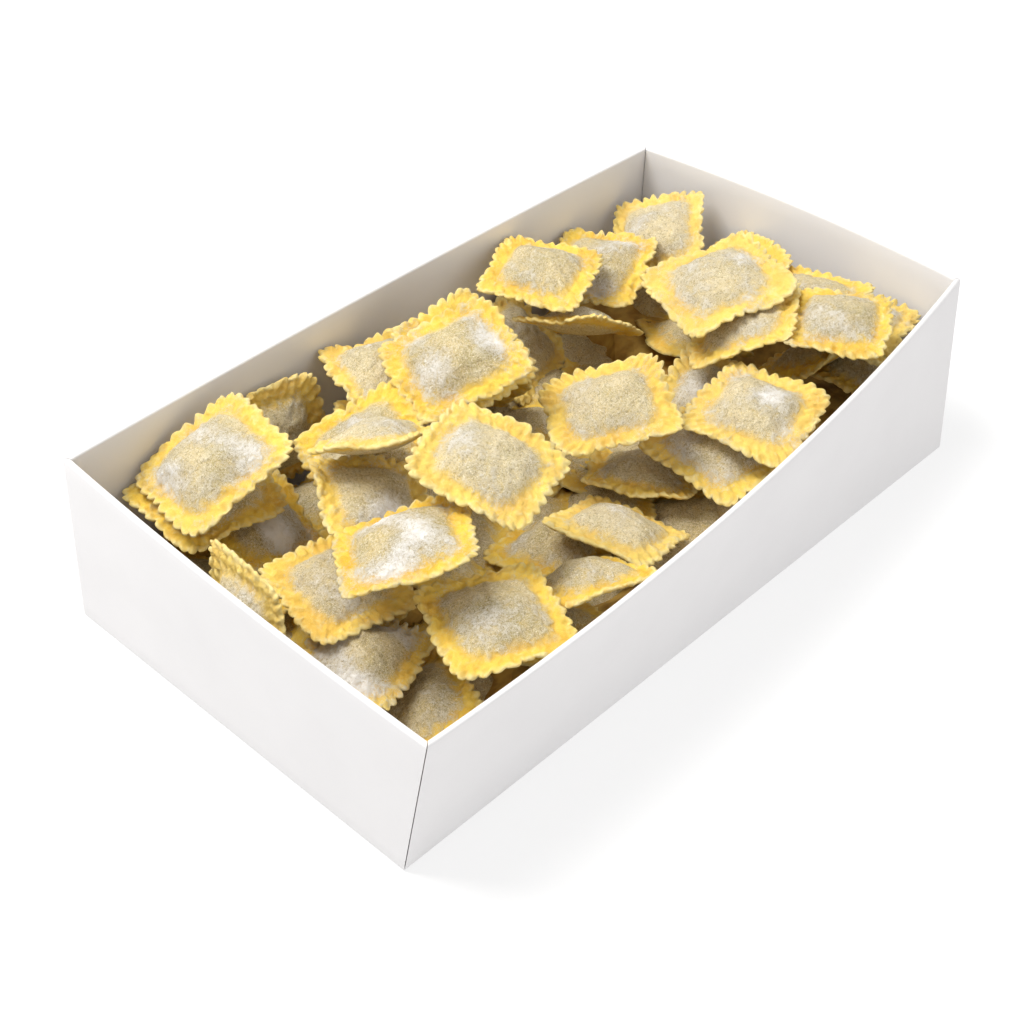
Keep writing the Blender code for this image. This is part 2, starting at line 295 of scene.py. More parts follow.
@dataclass(frozen=True)
class CardFinish:
    """White coated card, matt, with a faint fibre."""

    name: str = "white_card"
    white: tuple = (0.75, 0.738, 0.742)
    dull: tuple = (0.71, 0.698, 0.702)
    roughness: float = 0.55

    def build(self) -> bpy.types.Material:
        """Make the material."""
        material = bpy.data.materials.new(self.name)
        kit = NodeKit(material)
        cloud = kit.noise(38 * MM, 3.0)
        fibre = kit.noise(0.8 * MM, 4.0, 0.8, 0.6)
        colour = kit.mix(cloud.ramp(0.3, 0.75, 0.0, 0.6), self.white, self.dull)
        colour = kit.mix(fibre.ramp(0.55, 0.8, 0.0, 0.12), colour, (0.70, 0.69, 0.67))
        rough = fibre.ramp(0.3, 0.7, self.roughness - 0.05, self.roughness + 0.08)
        normal = kit.bump(fibre * 0.6 + cloud * 2.0, 0.12, 0.2 * MM)
        kit.finish(Base_Color=colour, Roughness=rough, Normal=normal)
        return material


@dataclass(frozen=True)
class ShadowFinish:
    """Painted shade: a dark brown finish standing in for the shadow between the buried ravioli."""

    name: str = "buried_dough"
    # painted shade: dark brown and amber, the colour of the shadow deep in the heap
    brown: tuple = (0.34, 0.19, 0.03)
    amber: tuple = (0.56, 0.36, 0.08)

    def build(self) -> bpy.types.Material:
        """Make the material."""
        material = bpy.data.materials.new(self.name)
        kit = NodeKit(material)
        cloud = kit.noise(7 * MM, 3.0)
        kit.finish(Base_Color=kit.mix(cloud.ramp(0.35, 0.65), self.brown, self.amber), Roughness=0.8)
        kit.finish(Normal=kit.bump(cloud, 0.6, 1.0 * MM))
        return material


@dataclass(frozen=True)
class FloorFinish:
    """A plain pale studio floor, lit through from beneath."""

    name: str = "studio_floor"
    white: tuple = (0.36, 0.36, 0.36)
    glow: float = 0.62

    def build(self) -> bpy.types.Material:
        """Make the material."""
        material = bpy.data.materials.new(self.name)
        kit = NodeKit(material)
        kit.finish(Base_Color=self.white, Roughness=0.9)
        kit.finish(Emission_Color=(1.0, 1.0, 1.0), Emission_Strength=self.glow)
        return material


# -------------------------------------------------------------- mesh helpers


def make_piece(name: str, points: np.ndarray, faces: list, finish: bpy.types.Material) -> bpy.types.Object:
    """A smooth-shaded object at the origin.

    Args:
        name: The piece's name.
        points: Its points, in metres, one row each.
        faces: Index tuples that wind outwards.
        finish: Its material.

    Returns:
        The linked object.
    """
    mesh = bpy.data.meshes.new(name)
    mesh.from_pydata([tuple(p) for p in points], [], faces)
    mesh.materials.append(finish)
    mesh.shade_smooth()
    mesh.update()
    piece = bpy.data.objects.new(name, mesh)
    bpy.context.scene.collection.objects.link(piece)
    return piece


def store(mesh: bpy.types.Mesh, **columns: np.ndarray) -> None:
    """Keep one number a point on a mesh, under each given name."""
    for name, values in columns.items():
        layer = mesh.attributes.new(name, "FLOAT", "POINT")
        layer.data.foreach_set("value", np.asarray(values, np.float32))


def smoothstep(low: float, high: float, value: np.ndarray) -> np.ndarray:
    """0 before low, 1 past high, eased between."""
    t = np.clip((value - low) / (high - low), 0.0, 1.0)
    return t * t * (3 - 2 * t)


class Ripple:
    """Smooth random relief over a plane: a sum of a few waves."""

    def __init__(self, rng: np.random.Generator, size: float, waves: int = 7) -> None:
        """Draw the waves.

        Args:
            rng: Source of the waves' directions and phases.
            size: Typical wavelength in metres.
            waves: How many waves are summed.
        """
        angle = rng.uniform(0, 2 * math.pi, waves)
        pitch = 2 * math.pi / (size * rng.uniform(0.7, 1.4, waves))
        self.kx, self.ky = np.cos(angle) * pitch, np.sin(angle) * pitch
        self.phase = rng.uniform(0, 2 * math.pi, waves)

    def at(self, x: np.ndarray, y: np.ndarray) -> np.ndarray:
        """Height at points, about -1..1."""
        waves = np.sin(x[..., None] * self.kx + y[..., None] * self.ky + self.phase)
        return waves.sum(-1) / math.sqrt(len(self.phase))


# ---------------------------------------------------------------- one raviolo


class Dusting(Enum):
    """How much flour lies on a raviolo."""

    BARE = 0.12
    LIGHT = 0.27
    PATCHY = 0.42
    HEAVY = 0.58


@dataclass
class Place:
    """Where one raviolo lies, read back from its CAD solid."""

    centre: np.ndarray
    axes: np.ndarray
    length: float
    width: float

    @classmethod
    def of_node(cls, node: bpy.types.Object) -> "Place":
        """Recover place, turn and size from a CAD raviolo.

        Args:
            node: The CAD object, its place in its mesh.

        Returns:
            The place, its axes in columns, the pillow towards the third.
        """
        raw = np.array([tuple(v.co) for v in node.data.vertices])
        spots = np.unique(raw.round(6), axis=0)
        middle = spots.mean(0)
        _, _, rows = np.linalg.svd(spots - middle)
        normal = rows[2]
        depth = (spots - middle) @ normal
        rim_level = np.median(depth)
        if depth.max() - rim_level < rim_level - depth.min():
            normal, rim_level = -normal, -rim_level
        first = rows[0] - normal * (rows[0] @ normal)
        first /= np.linalg.norm(first)
        second = np.cross(normal, first)
        flat = np.stack([(spots - middle) @ first, (spots - middle) @ second], 1)
        best = min(
            (cls._extent(flat, math.radians(step / 4)) for step in range(360)),
            key=lambda found: found[0],
        )
        _, angle, size, offset = best
        along = first * math.cos(angle) + second * math.sin(angle)
        across = np.cross(normal, along)
        centre = middle + along * offset[0] + across * offset[1] + normal * rim_level
        return cls(centre, np.stack([along, across, normal], 1), size[0], size[1])

    @staticmethod
    def _extent(flat: np.ndarray, angle: float) -> tuple:
        """The bounding rectangle of points at one angle: area, angle, size, middle."""
        c, s = math.cos(angle), math.sin(angle)
        turned = np.stack([flat[:, 0] * c + flat[:, 1] * s, flat[:, 1] * c - flat[:, 0] * s], 1)
        low, high = turned.min(0), turned.max(0)
        size = high - low
        return size[0] * size[1], angle, size, (low + high) / 2


@dataclass
class RavioloForm:
    """The making of one raviolo: sizes of its pillow and its fluted edge."""

    flutes_per_side: int = 9
    points_per_flute: int = 6
    flute_depth: float = 1.9 * MM
    sheet: float = 0.95 * MM
    pillow_span: float = 0.64
    pillow_height: float = 7.8 * MM
    belly: float = 3.3 * MM
    edge_wave: float = 0.28 * MM
    crimp: float = 0.05 * MM
    curl: float = 1.1 * MM
    corner_pull: float = 0.05
    pillow_rings: int = 13
    rim_rings: int = 12

    def mesh(self, length: float, width: float, seed: int, dusting: float, tone: float) -> tuple:
        """Points, faces and attributes of one raviolo in its own frame.

        Args:
            length: Size along its first axis, in metres.
            width: Size along its second axis, in metres.
            seed: Makes this one differ from the others.
            dusting: Amount of flour, 0..1.
            tone: How pale its dough is, 0..1.

        Returns:
            Points, faces and a dict of per-point numbers.
        """
        rng = np.random.default_rng(seed)
        span = self.pillow_span * rng.uniform(0.95, 1.07)
        around = 4 * self.flutes_per_side * self.points_per_flute
        t = np.arange(around) / around * 4
        side, run = np.floor(t).astype(int), t % 1
        reach = 2 * run - 1
        corner_x = np.choose(side, [np.ones(around), -reach, -np.ones(around), reach])
        corner_y = np.choose(side, [reach, np.ones(around), -reach, -np.ones(around)])
        theta = np.arctan2(corner_y, corner_x)
        inner = np.linspace(0, 1, self.pillow_rings + 1)[1:] * span
        outer = 1 - (1 - span) * (1 - np.linspace(0, 1, self.rim_rings + 1)[1:]) ** 1.3
        r = np.concatenate([inner, outer])[:, None]

        squareness = 2.1 + 5.0 * smoothstep(0.25, 1.0, r)
        c, s = np.abs(np.cos(theta)), np.abs(np.sin(theta))
        radius = (c**squareness + s**squareness) ** (-1 / squareness)
        x, y = np.cos(theta) * radius * r, np.sin(theta) * radius * r
        pull = 1 - self.corner_pull * rng.uniform(0, 1, 4)
        far_x, far_y = (1 + x) / 2, (1 + y) / 2
        warp = (1 - far_y) * ((1 - far_x) * pull[0] + far_x * pull[1])
        warp += far_y * ((1 - far_x) * pull[2] + far_x * pull[3])
        x, y = x * warp * length / 2, y * warp * width / 2

        phase = run * self.flutes_per_side * 2 * math.pi + self._swings(rng, theta, 0.34, (2, 3, 5, 7, 9))
        lobe = np.abs(np.cos(phase / 2))
        scallop = 1 - lobe ** rng.uniform(0.55, 0.85)
        uneven = np.clip(1 + self._swings(rng, theta, 0.27, (3, 5, 8, 11, 14)), 0.35, 1.5)
        bite = self.flute_depth * scallop * uneven * smoothstep(0.78, 1.0, r)
        wander = np.abs(self._swings(rng, theta, 0.45 * MM, (2, 3, 4, 6, 9)))
        bite = bite + wander * smoothstep(0.55, 1.0, r)
        length_of = np.hypot(x, y)
        x, y = x * (1 - bite / length_of), y * (1 - bite / length_of)

        rim = smoothstep(span, 1.0, r)
        s_in = np.clip(r / (span * 1.08), 0, 1)
        lumps, dents = Ripple(rng, 16 * MM), Ripple(rng, 7 * MM)
        folds, pits = Ripple(rng, 4.2 * MM, 9), Ripple(rng, 2.2 * MM, 9)
        tilt_x, tilt_y = rng.uniform(-0.16, 0.16, 2)
        dome = (1 - s_in**2.5) ** 1.15 * (1 + tilt_x * x / (length / 2) + tilt_y * y / (width / 2))
        height = self.pillow_height * rng.uniform(0.88, 0.99)
        swell = 1 - s_in**8
        top = dome * (height - self.sheet) + lumps.at(x, y) * 0.5 * MM * swell
        top += dents.at(x, y) * 0.28 * MM * swell + folds.at(x, y) * 0.1 * MM

        outer_band = smoothstep(0.74, 1.0, r)
        wave = self.edge_wave * np.cos(phase + 0.6) * uneven * outer_band
        lift = self.curl * self._swings(rng, theta, 0.5, (2, 3, 4, 5)) * rim**1.6
        pinch = self.crimp * np.cos(phase) * smoothstep(0.66, 0.78, r) * (1 - smoothstep(0.95, 1.0, r))
        edge_round = np.sqrt(np.clip(1 - ((r - 0.93) / 0.07).clip(0, 1) ** 2, 0, 1))
        thick = self.sheet * (1 - 0.2 * rim) * edge_round
        ruffle = (folds.at(x, y) * 0.34 + pits.at(x, y) * 0.15) * MM
        ruffle = ruffle * smoothstep(0.5, 0.75, r) * edge_round
        press = -0.25 * MM * np.exp(-(((r - span - 0.06) / 0.04) ** 2))
        z_top = top + thick + wave + lift + pinch + ruffle + press
        belly = (1 - s_in**2.6) * self.belly * rng.uniform(0.8, 1.0)
        z_low = -belly - thick + wave + lift - pinch * 0.6 + ruffle * 0.5
        z_low = np.minimum(z_low, z_top - 1.5 * thick)
        z_low[-1] = z_top[-1]

        points, faces = self._stitch(x, y, z_top, z_low)
        radial = np.concatenate([[0.0], np.repeat(r[:, 0], around), [0.0], np.repeat(r[:-1, 0], around)])
        upper = np.arange(len(points)) < 1 + r.size * around
        patches = Ripple(rng, 24 * MM).at(points[:, 0], points[:, 1])
        flour = dusting * (0.8 + 0.6 * patches) * np.where(upper, 1.0, 0.5)
        flour *= 1.0 - 0.5 * smoothstep(span, span + 0.15, radial)
        numbers = {
            "pillow": 1 - smoothstep(span - 0.12, span + 0.14, radial),
            "edge": smoothstep(0.88, 1.0, radial),
            "flour": np.clip(flour, 0, 1),
            "tone": np.full(len(points), tone),
        }
        return points, faces, numbers

    @staticmethod
    def _swings(rng: np.random.Generator, theta: np.ndarray, size: float, orders: tuple) -> np.ndarray:
        """A random closed wave round the outline, made of the given orders."""
        return sum(rng.normal(0, size) * np.sin(k * theta + rng.uniform(0, 6.3)) for k in orders)

    @staticmethod
    def _stitch(x: np.ndarray, y: np.ndarray, z_top: np.ndarray, z_low: np.ndarray) -> tuple:
        """Join the rings of the upper and the lower sheet into one closed skin."""
        rings, around = x.shape
        crown = np.array([[0, 0, float(z_top[0].mean())]])
        base = np.array([[0, 0, float(z_low[0].mean())]])
        upper = np.stack([x, y, z_top], -1).reshape(-1, 3)
        lower = np.stack([x, y, z_low], -1)[:-1].reshape(-1, 3)
        points = np.concatenate([crown, upper, base, lower])
        first_low = 2 + rings * around
        faces = []
        for k in range(around):
            n = (k + 1) % around
            faces.append((0, 1 + k, 1 + n))
            faces.append((first_low - 1, first_low + n, first_low + k))
            for ring in range(rings - 1):
                a, b = 1 + ring * around, 1 + (ring + 1) * around
                faces.append((a + k, b + k, b + n, a + n))
                c = first_low + ring * around
                d = first_low + (ring + 1) * around if ring < rings - 2 else 1 + (rings - 1) * around
                faces.append((c + n, d + n, d + k, c + k))
        return points, faces


@dataclass
class UpperRavioli:
    """The ravioli that show: one detailed piece for each CAD solid."""

    form: RavioloForm
    ceiling: float

    heavy: tuple = (23, 37, 39)
    patchy: tuple = (7, 8, 12, 18, 19, 21, 27, 31, 33, 34)
    crimped: tuple = (8, 31, 30)

    def build(self, nodes: dict, finish: bpy.types.Material) -> dict:
        """Make every piece.

        Args:
            nodes: The CAD objects by name.
            finish: The dough's material.

        Returns:
            CAD node name to its visible piece.
        """
        pieces = {}
        for name in sorted(n for n in nodes if n.startswith("raviolo_")):
            number = int(name[-2:])
            dusting = Dusting.LIGHT
            if number in self.heavy:
                dusting = Dusting.HEAVY
            elif number in self.patchy:
                dusting = Dusting.PATCHY
            rng = np.random.default_rng(500 + number)
            place = Place.of_node(nodes[name])
            form = RavioloForm(crimp=0.4 * MM) if number in self.crimped else self.form
            points, faces, numbers = form.mesh(
                place.length, place.width, 40 + number, dusting.value, rng.uniform(0, 0.8)
            )
            points = place.centre + points @ place.axes.T
            points[:, 2] = np.minimum(points[:, 2], self.ceiling)
            piece = make_piece(f"dough_{number:02d}", points, faces, finish)
            store(piece.data, **numbers)
            pieces[name] = piece
        return pieces


# ---------------------------------------------------------- buried ravioli


@dataclass
class BuriedRavioli:
    """Ravioli laid beneath and between the ones that show."""

    pitch: float = 19 * MM
    lowest: float = 14 * MM
    highest: float = 63 * MM
    rise: float = 1.5 * MM
    lean: float = 24.0
    size: float = 45 * MM
    wall_room: float = 15 * MM
    nestle: float = 0.72
    least_rays: int = 5
    seed: int = 11
    tray: "CardTray" = None

    def _small_form(self) -> RavioloForm:
        """A lighter raviolo for what is hardly seen."""
        return RavioloForm(points_per_flute=3, pillow_rings=3, rim_rings=3)

    def lay(self, nodes: dict) -> list:
        """Push ravioli up from below until they meet the ones above.

        Args:
            nodes: The CAD objects by name.

        Returns:
            Places as (x, y, z, Euler angles).
        """
        rng = np.random.default_rng(self.seed)
        solids = []
        for name, node in nodes.items():
            if name.startswith("raviolo_"):
                solids.append(self._tree([v.co for v in node.data.vertices], [tuple(p.vertices) for p in node.data.polygons]))
        low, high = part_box("lower_ravioli")
        proxy, proxy_faces = self._proxy(self.size / 2 * 0.96)
        heart, _ = self._proxy(self.size / 2 * self.nestle)
        laid, bodies = [], []
        spots = []
        rows = int((high.y - low.y - self.wall_room * 2) / self.pitch) + 2
        columns = int((high.x - low.x - self.wall_room * 2) / self.pitch) + 2
        for row in range(rows):
            for column in range(columns):
                along = (column + 0.5 * (row % 2)) / (columns - 0.5)
                x = low.x + self.wall_room + (high.x - low.x - 2 * self.wall_room) * min(along, 1)
                y = low.y + self.wall_room + (high.y - low.y - 2 * self.wall_room) * row / (rows - 1)
                x, y = x + rng.uniform(-4, 4) * MM, y + rng.uniform(-4, 4) * MM
                spots.append((x, y))
        order = rng.permutation(len(spots))
        places = []
        for index in order:
            x, y = spots[index]
            best = None
            for _ in range(7):
                lean, toward, turn = rng.uniform(0, self.lean), rng.uniform(0, 360), rng.uniform(0, 90)
                turned = (
                    Matrix.Rotation(math.radians(toward), 4, "Z")
                    @ Matrix.Rotation(math.radians(lean), 4, "Y")
                    @ Matrix.Rotation(math.radians(turn), 4, "Z")
                )
                level = self.lowest
                while level < self.highest:
                    shift = self._held((x, y, level + self.rise), turned, proxy)
                    if self._meets([shift @ p for p in proxy], proxy_faces, solids):
                        break
                    if self._meets([shift @ p for p in heart], proxy_faces, laid):
                        break
                    level += self.rise
                if best is None or level > best[0]:
                    best = (level, turned)
            level, turned = best
            shift = self._held((x, y, level), turned, proxy)
            laid.append(self._tree([shift @ p for p in heart], proxy_faces))
            places.append((*shift.translation, turned.to_euler()))
            bodies.append([shift @ p for p in proxy])
        return self._seen(places, bodies, proxy_faces, nodes)

    def _seen(self, places: list, bodies: list, body_faces: list, nodes: dict) -> list:
        """The places from which some of the raviolo shows between the others.

        Args:
            places: Every place laid.
            bodies: The coarse raviolo of each place, as points.
            body_faces: Its faces.
            nodes: The CAD objects by name.

        Returns:
            The places worth a raviolo.
        """
        points, faces = [], []
        shapes = [(body, body_faces) for body in bodies]
        for name, node in nodes.items():
            if name != "lower_ravioli":
                shapes.append(([v.co for v in node.data.vertices], [tuple(p.vertices) for p in node.data.polygons]))
        for body, its_faces in shapes:
            faces += [tuple(len(points) + index for index in face) for face in its_faces]
            points += [Vector(p) for p in body]
        tree = BVHTree.FromPolygons(points, faces)
        rays = [Vector((0, 0, 1))]
        for tilt, count in ((25, 5), (48, 9)):
            for step in range(count):
                turn = Euler((math.radians(tilt), 0, 2 * math.pi * step / count))
                rays.append(turn.to_matrix() @ Vector((0, 0, 1)))
        kept = []
        for place, body in zip(places, bodies):
            crown = sum(body[4:8], Vector()) / 4
            spots = [crown] + body[4:8] + [rim.lerp(crown, 0.12) for rim in body[:4]]
            spots += [body[k].lerp(body[k - 1], 0.5).lerp(crown, 0.1) for k in range(4)]
            free = sum(tree.ray_cast(p + ray * 1.5 * MM, ray, 0.4)[0] is None for p in spots for ray in rays)
            if free >= self.least_rays:
                kept.append(place)
        return kept

    def _held(self, spot: tuple, turned: Matrix, proxy: list) -> Matrix:
        """A place moved sideways until the raviolo is within the walls."""
        shift = Matrix.Translation(spot) @ turned
        moved = self.tray.pull_in([shift @ p for p in proxy])
        return Matrix.Translation(moved) @ shift

    @staticmethod
    def _proxy(half: float) -> tuple:
        """A coarse raviolo for the touch test, from its half width."""
        ring = [(half, half), (-half, half), (-half, -half), (half, -half)]
        points = [Vector((x, y, 0)) for x, y in ring]
        points += [Vector((x * 0.55, y * 0.55, 6 * MM)) for x, y in ring]
        points += [Vector((0, 0, -3 * MM))]
        faces = [(4, 5, 6, 7)]
        for k in range(4):
            n = (k + 1) % 4
            faces += [(k, n, 4 + n, 4 + k), (n, k, 8)]
        return points, faces

    @staticmethod
    def _tree(points: list, faces: list) -> tuple:
        """A search tree with its middle and reach."""
        middle = sum((Vector(p) for p in points), Vector()) / len(points)
        reach = max((Vector(p) - middle).length for p in points)
        return BVHTree.FromPolygons([Vector(p) for p in points], faces), middle, reach

    def _meets(self, points: list, faces: list, solids: list) -> bool:
        """Whether a shape touches any laid solid."""
        tree, middle, reach = self._tree(points, faces)
        for other, centre, span in solids:
            if (middle - centre).length < reach + span and tree.overlap(other):
                return True
        return False

    def build(self, nodes: dict, finish: bpy.types.Material) -> bpy.types.Object:
        """Copy one raviolo onto every place through a node group.

        Args:
            nodes: The CAD objects by name.
            finish: The dough's material.

        Returns:
            All buried ravioli as one mesh piece.
        """
        places = self.lay(nodes)
        points, faces, numbers = self._small_form().mesh(self.size, self.size, 7, 0.08, 0.2)
        pattern = make_piece("pattern_raviolo", points, faces, finish)
        store(pattern.data, **numbers)
        cloud = bpy.data.meshes.new("buried_points")
        cloud.from_pydata([place[:3] for place in places], [], [])
        turning = cloud.attributes.new("turning", "FLOAT_VECTOR", "POINT")
        turning.data.foreach_set("vector", [angle for place in places for angle in place[3]])
        holder = bpy.data.objects.new("buried_points", cloud)
        bpy.context.scene.collection.objects.link(holder)
        LOG.info("buried ravioli: %d", len(places))
        piece = CopyOnPoints("copy_ravioli").apply(holder, pattern, finish, "buried_ravioli")
        LOG.info("buried faces: %d", len(piece.data.polygons))
        bpy.data.objects.remove(pattern)
        return piece


class CopyOnPoints:
    """A node group that copies one object onto the points of another."""

    def __init__(self, name: str) -> None:
        """Build the tree with its named inputs."""
        tree = bpy.data.node_groups.new(name, "GeometryNodeTree")
        face = tree.interface
        face.new_socket("Geometry", in_out="INPUT", socket_type="NodeSocketGeometry")
        self.pattern_input = face.new_socket("Pattern", in_out="INPUT", socket_type="NodeSocketObject").identifier
        self.finish_input = face.new_socket("Finish", in_out="INPUT", socket_type="NodeSocketMaterial").identifier
        self.spread_input = face.new_socket("Size spread", in_out="INPUT", socket_type="NodeSocketFloat").identifier
        self.seed_input = face.new_socket("Seed", in_out="INPUT", socket_type="NodeSocketInt").identifier
        face.new_socket("Geometry", in_out="OUTPUT", socket_type="NodeSocketGeometry")
        new, link = tree.nodes.new, tree.links.new
        source, sink = new("NodeGroupInput"), new("NodeGroupOutput")
        pattern, copies = new("GeometryNodeObjectInfo"), new("GeometryNodeInstanceOnPoints")
        turning = new("GeometryNodeInputNamedAttribute")
        turning.data_type = "FLOAT_VECTOR"
        turning.inputs["Name"].default_value = "turning"
        spread = new("FunctionNodeRandomValue")
        spread.data_type = "FLOAT"
        smallest = new("ShaderNodeMath")
        smallest.operation = "SUBTRACT"
        smallest.inputs[0].default_value = 1.0
        realize, dress = new("GeometryNodeRealizeInstances"), new("GeometryNodeSetMaterial")
        link(source.outputs["Pattern"], pattern.inputs["Object"])
        link(source.outputs["Geometry"], copies.inputs["Points"])
        link(pattern.outputs["Geometry"], copies.inputs["Instance"])
        link(turning.outputs["Attribute"], copies.inputs["Rotation"])
        link(source.outputs["Size spread"], smallest.inputs[1])
        link(smallest.outputs[0], spread.inputs[2])
        spread.inputs[3].default_value = 1.0
        link(source.outputs["Seed"], spread.inputs["Seed"])
        link(spread.outputs[1], copies.inputs["Scale"])
        link(copies.outputs["Instances"], realize.inputs["Geometry"])
        link(realize.outputs["Geometry"], dress.inputs["Geometry"])
        link(source.outputs["Finish"], dress.inputs["Material"])
        link(dress.outputs["Geometry"], sink.inputs["Geometry"])
        self.tree = tree

    def apply(self, holder: bpy.types.Object, pattern: bpy.types.Object, finish: bpy.types.Material, name: str) -> bpy.types.Object:
        """Run the group on a point object and keep the result as a plain mesh."""
        modifier = holder.modifiers.new("copies", "NODES")
        modifier.node_group = self.tree
        modifier[self.pattern_input] = pattern
        modifier[self.finish_input] = finish
        modifier[self.spread_input] = 0.06
        modifier[self.seed_input] = 5
        bpy.context.view_layer.update()
        graph = bpy.context.evaluated_depsgraph_get()
        mesh = bpy.data.meshes.new_from_object(holder.evaluated_get(graph))
        mesh.name = name
        mesh.shade_smooth()
        piece = bpy.data.objects.new(name, mesh)
        bpy.context.scene.collection.objects.link(piece)
        bpy.data.objects.remove(holder)
        return piece


# ------------------------------------------------------------------ the tray


@dataclass
class CardTray:
    """The folded tray: four walls of double card round a base."""

    height: float = 70.5 * MM
    length: float = 300 * MM
    width: float = 161 * MM
    card: float = 2.2 * MM
    seam: float = 0.22 * MM
    steps: int = 60
    bow_growth: float = 1.2
    bottom_fold: float = 1.1 * MM

    rim_corners = {
        "front_left": (-154 * MM, -94 * MM),
        "front_right": (160 * MM, -68 * MM),
        "back_right": (149 * MM, 81 * MM),
        "back_left": (-149 * MM, 80.5 * MM),
    }
    bows = {"front": 9.7 * MM, "right": 4.4 * MM, "back": 2.4 * MM, "left": 2.0 * MM}
    walls = (
        ("front", "front_left", "front_right"),
        ("right", "front_right", "back_right"),
        ("back", "back_right", "back_left"),
        ("left", "back_left", "front_left"),
    )

    def _foot(self, corner: str) -> Vector:
        """A corner of the base."""
        x = self.length / 2 if "right" in corner else -self.length / 2
        y = self.width / 2 if "back" in corner else -self.width / 2
        return Vector((x, y))

    def point(self, wall: tuple, along: float, height: float, inset: float) -> Vector:
        """A point of a wall, moved inwards by inset."""
        name, start, end = wall
        rise = height / self.height
        foot = self._foot(start).lerp(self._foot(end), along)
        rim_start, rim_end = Vector(self.rim_corners[start]), Vector(self.rim_corners[end])
        top = rim_start.lerp(rim_end, along)
        outward = Vector((rim_end.y - rim_start.y, rim_start.x - rim_end.x)).normalized()
        bow = self.bows[name] * max(rise, 0) ** self.bow_growth * 4 * along * (1 - along)
        return foot.lerp(top, rise) + outward * (bow - inset)

    def corner(self, before: tuple, after: tuple, height: float, inset: float) -> Vector:
        """Where two inset walls cross."""
        a1, a0 = self.point(before, 1.0, height, inset), self.point(before, 0.98, height, inset)
        b0, b1 = self.point(after, 0.0, height, inset), self.point(after, 0.02, height, inset)
        d, e = a1 - a0, b1 - b0
        cross = d.x * e.y - d.y * e.x
        reach = ((b0 - a0).x * e.y - (b0 - a0).y * e.x) / cross
        return a0 + d * reach

    def pull_in(self, points: list) -> Vector:
        """How far points must move sideways to lie within the inner faces of the walls."""
        moved = Vector((0, 0, 0))
        room = self.card + 1.5 * MM
        for wall in self.walls:
            start, end = Vector(self.rim_corners[wall[1]]), Vector(self.rim_corners[wall[2]])
            outward = Vector((end.y - start.y, start.x - end.x)).normalized()
            worst = 0.0
            for point in points:
                height = min(max(point.z, 0), self.height)
                base = self._foot(wall[1]).lerp(start, height / self.height)
                other = self._foot(wall[2]).lerp(end, height / self.height)
                run = other - base
                along = min(max((point.xy - base).dot(run) / run.length_squared, 0), 1)
                spot = self.point(wall, along, height, room)
                worst = max(worst, (point.xy - spot).dot(outward))
            moved -= Vector((outward.x, outward.y, 0)) * worst
        return moved

    def profile(self) -> list:
        """The wall's section as (height, inset) pairs, outside first, round the top fold."""
        half = self.card / 2
        fold = self.bottom_fold
        section = [(0.0, fold), (0.13 * fold, 0.5 * fold), (0.5 * fold, 0.13 * fold), (fold, 0.0)]
        section += [(self.height * k / 10, 0.0) for k in range(1, 10)]
        section.append((self.height - half, 0.0))
        for step in range(1, 8):
            angle = math.pi * step / 8
            section.append((self.height - half + half * math.sin(angle), half - half * math.cos(angle)))
        section.append((self.height - half, self.card))
        section += [(self.height * k / 10, self.card) for k in range(9, -1, -1)]
        return section

    def build_wall(self, index: int, finish: bpy.types.Material) -> bpy.types.Object:
        """One wall, mitred at its ends with a fine seam."""
        wall = self.walls[index]
        before, after = self.walls[index - 1], self.walls[(index + 1) % 4]
        section = self.profile()
        points, faces = [], []
        for step in range(self.steps + 1):
            along = step / self.steps
            for height, inset in section:
                start = self.corner(before, wall, height, inset)
                end = self.corner(wall, after, height, inset)
                run = (end - start).normalized()
                if step == 0:
                    spot = start + run * self.seam
                elif step == self.steps:
                    spot = end - run * self.seam
                else:
                    spot = self.point(wall, along, height, inset)
                points.append((spot.x, spot.y, height))
        count = len(section)
        for step in range(self.steps):
            a, b = step * count, (step + 1) * count
            for k in range(count):
                n = (k + 1) % count
                faces.append((a + k, b + k, b + n, a + n))
        faces.append(tuple(range(count)))
        faces.append(tuple(range(self.steps * count + count - 1, self.steps * count - 1, -1)))
        piece = make_piece(f"tray_{wall[0]}_wall", np.array(points), faces, finish)
        piece.data.set_sharp_from_angle(angle=math.radians(50))
        return piece

    def build_base(self, finish: bpy.types.Material) -> bpy.types.Object:
        """The floor of the tray."""
        room = self.card + 0.2 * MM
        ring = [(-1, -1), (1, -1), (1, 1), (-1, 1)]
        points = []
        for level in (0.0, self.card):
            for sx, sy in ring:
                points.append((sx * (self.length / 2 - room), sy * (self.width / 2 - room), level))
        faces = [(3, 2, 1, 0), (4, 5, 6, 7)]
        faces += [(k, (k + 1) % 4, 4 + (k + 1) % 4, 4 + k) for k in range(4)]
        piece = make_piece("tray_base", np.array(points), faces, finish)
        piece.data.set_sharp_from_angle(angle=math.radians(50))
        return piece

    def build(self, finish: bpy.types.Material) -> list:
        """All pieces of the tray."""
        return [self.build_wall(index, finish) for index in range(4)] + [self.build_base(finish)]


# ------------------------------------------------------------------- studio


